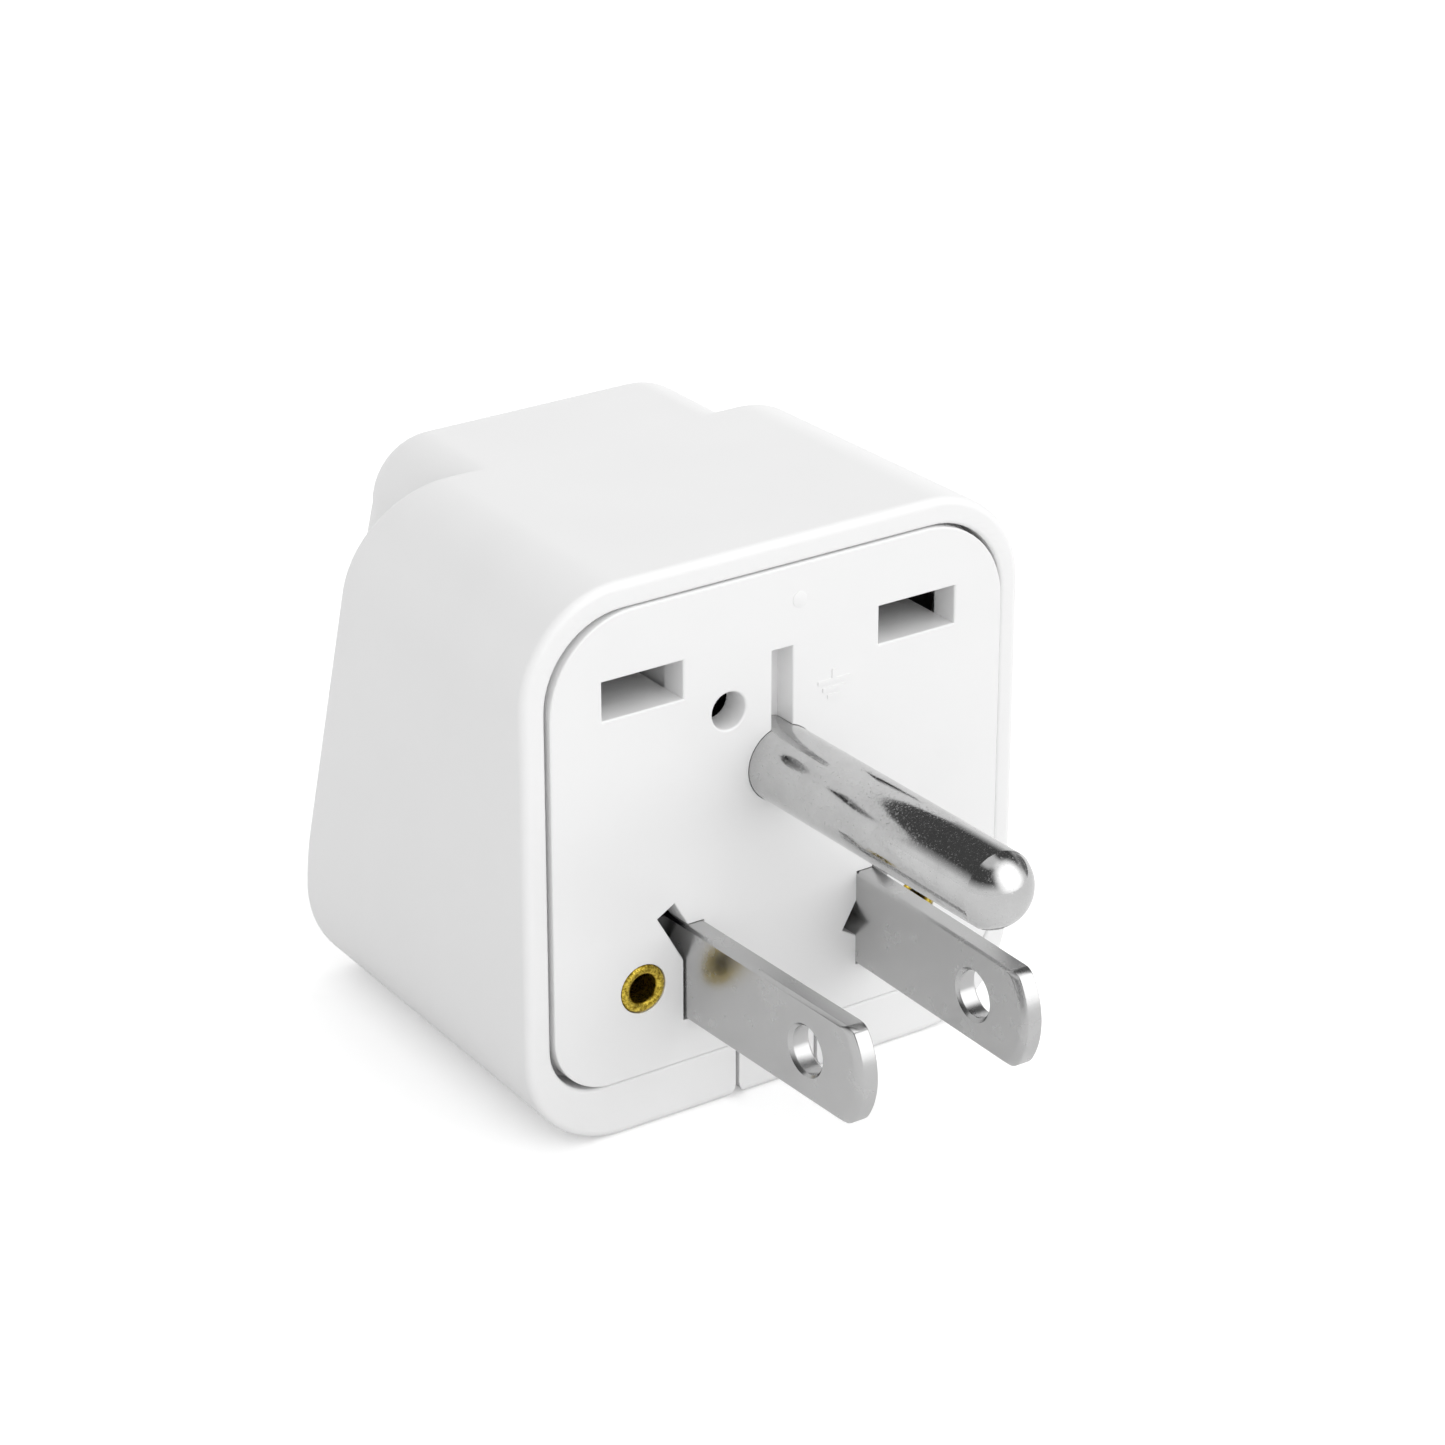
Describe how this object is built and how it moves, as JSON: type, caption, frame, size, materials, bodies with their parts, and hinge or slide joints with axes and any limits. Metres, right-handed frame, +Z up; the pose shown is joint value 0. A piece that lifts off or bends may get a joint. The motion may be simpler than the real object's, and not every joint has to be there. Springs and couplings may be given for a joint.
{
  "type": "universal travel adapter",
  "caption": "White plug adapter: flat-blade and round earth pin plug on the front, shuttered universal socket on the rear, straps and jaws inside.",
  "frame": {"origin": "under the middle of the whole object, at the height of its flat bottom", "axes": "+Y runs from the plug's pins to the socket face, +Z is up with the earth pin above the blades, +X is to the right seen from the pins"},
  "size_m": [0.0356, 0.0516, 0.0358],
  "materials": {
    "white_abs": "moulded ABS, satin gloss",
    "shutter_plastic": "moulded polycarbonate, satin",
    "carrier_plastic": "moulded glass-filled nylon, matt",
    "nickel_plate": "nickel plated brass, satin on the blades and polished on the pin",
    "brass": "stamped strip, bright",
    "spring_steel": "drawn and tempered, dull"
  },
  "bodies": {
    "adapter": {"housing": "white_abs", "front_plate": "white_abs", "blade_left": "nickel_plate", "blade_right": "nickel_plate", "earth_pin": "nickel_plate", "rivet_left": "brass", "rivet_right": "brass", "contact_left": "brass", "contact_right": "brass", "earth_contact": "nickel_plate", "clip_left": "spring_steel", "clip_right": "spring_steel", "earth_clip_upper": "spring_steel", "earth_clip_lower": "spring_steel", "earth_washer": "spring_steel", "contact_carrier": "carrier_plastic", "shutter_spring_left": "spring_steel", "shutter_spring_right": "spring_steel"},
    "shutter": {"shutter": "shutter_plastic"}
  },
  "joints": [
    {"name": "shutter_slide", "type": "slide", "parent": "adapter", "child": "shutter", "axis": [0, 0, 1], "range_m": [0, 0.0072], "stiffness_N_per_m": 60, "springref_m": -0.003, "deforming": ["shutter_spring_left", "shutter_spring_right"]}
  ]
}
